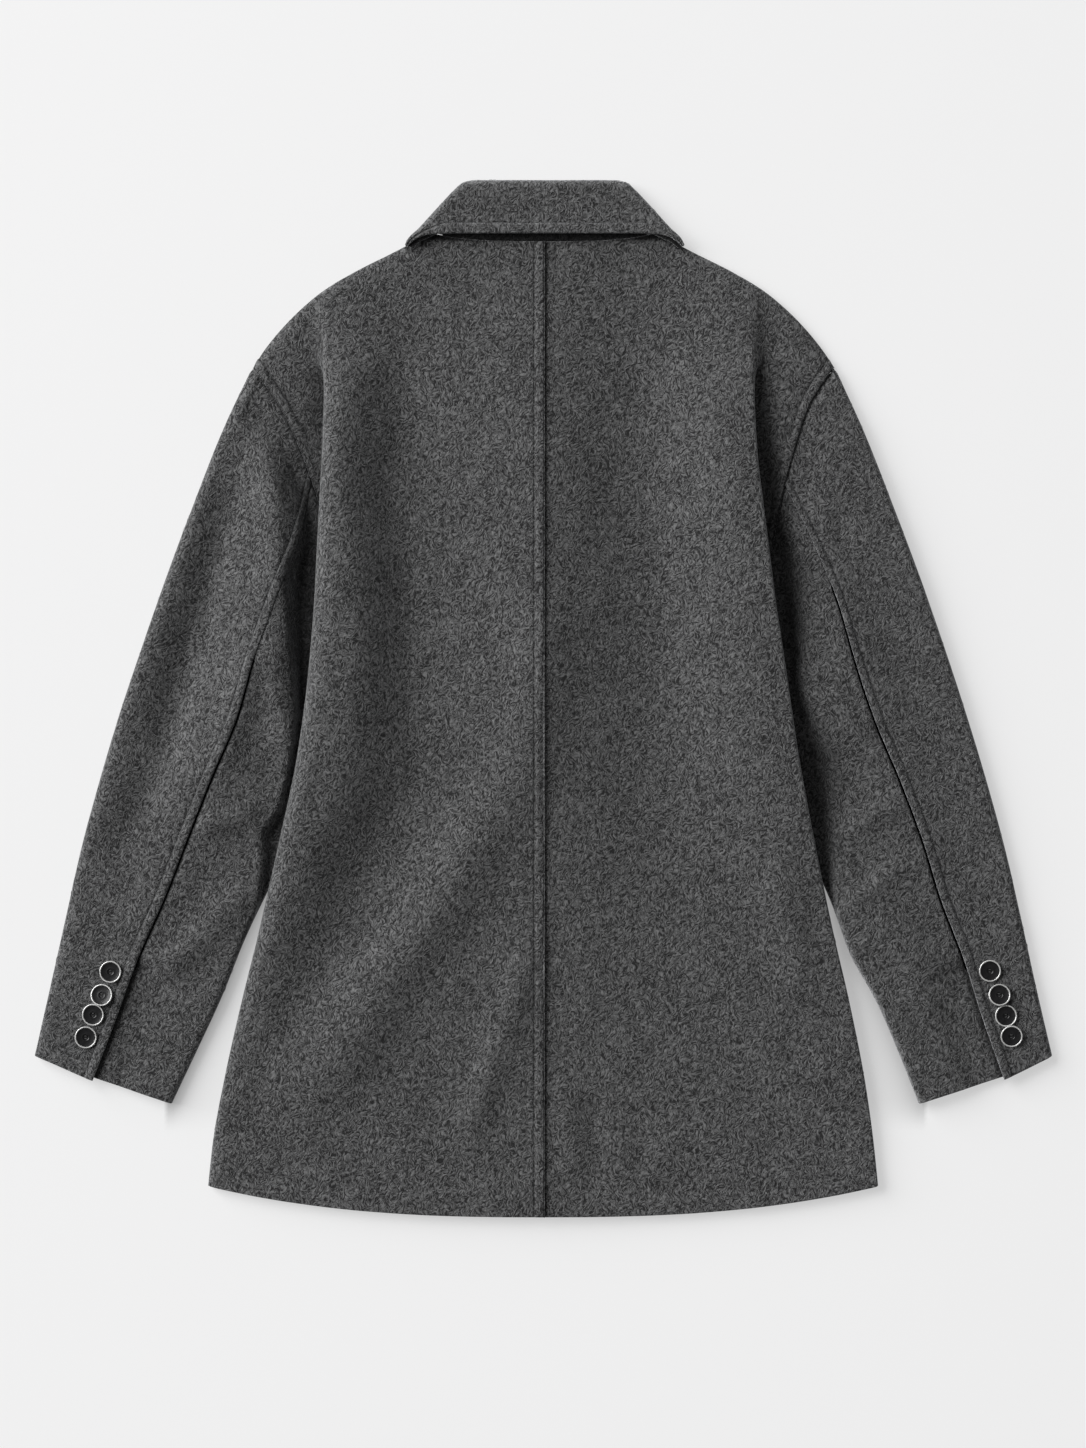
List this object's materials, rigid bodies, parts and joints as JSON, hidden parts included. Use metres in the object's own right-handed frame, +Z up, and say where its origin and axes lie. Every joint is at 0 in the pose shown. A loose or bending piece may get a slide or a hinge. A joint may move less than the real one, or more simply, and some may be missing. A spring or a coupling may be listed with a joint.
{
  "type": "wool coat",
  "caption": "Short tailored wool coat laid flat with its back up: turn-down collar, dropped shoulders, centre-back seam, sleeves at its sides with buttoned cuff vents",
  "frame": {"origin": "on the surface the coat lies on, below the middle of its outline", "axes": "+X to the coat's right as seen in the picture, +Y towards the collar, +Z up off the surface"},
  "size_m": [0.8347, 0.8505, 0.029],
  "materials": {
    "wool": "brushed charcoal wool with a short matt nap",
    "button": "polished black, dished with a raised rim"
  },
  "bodies": {
    "root": {"back_left": "wool", "back_right": "wool", "front_left": "wool", "front_right": "wool", "sleeve_upper_left": "wool", "sleeve_upper_right": "wool", "sleeve_under_left": "wool", "sleeve_under_right": "wool", "collar_upper": "wool", "collar_under": "wool", "collar_stand": "wool", "button_left_1": "button", "button_left_2": "button", "button_left_3": "button", "button_left_4": "button", "button_right_1": "button", "button_right_2": "button", "button_right_3": "button", "button_right_4": "button"}
  },
  "joints": []
}
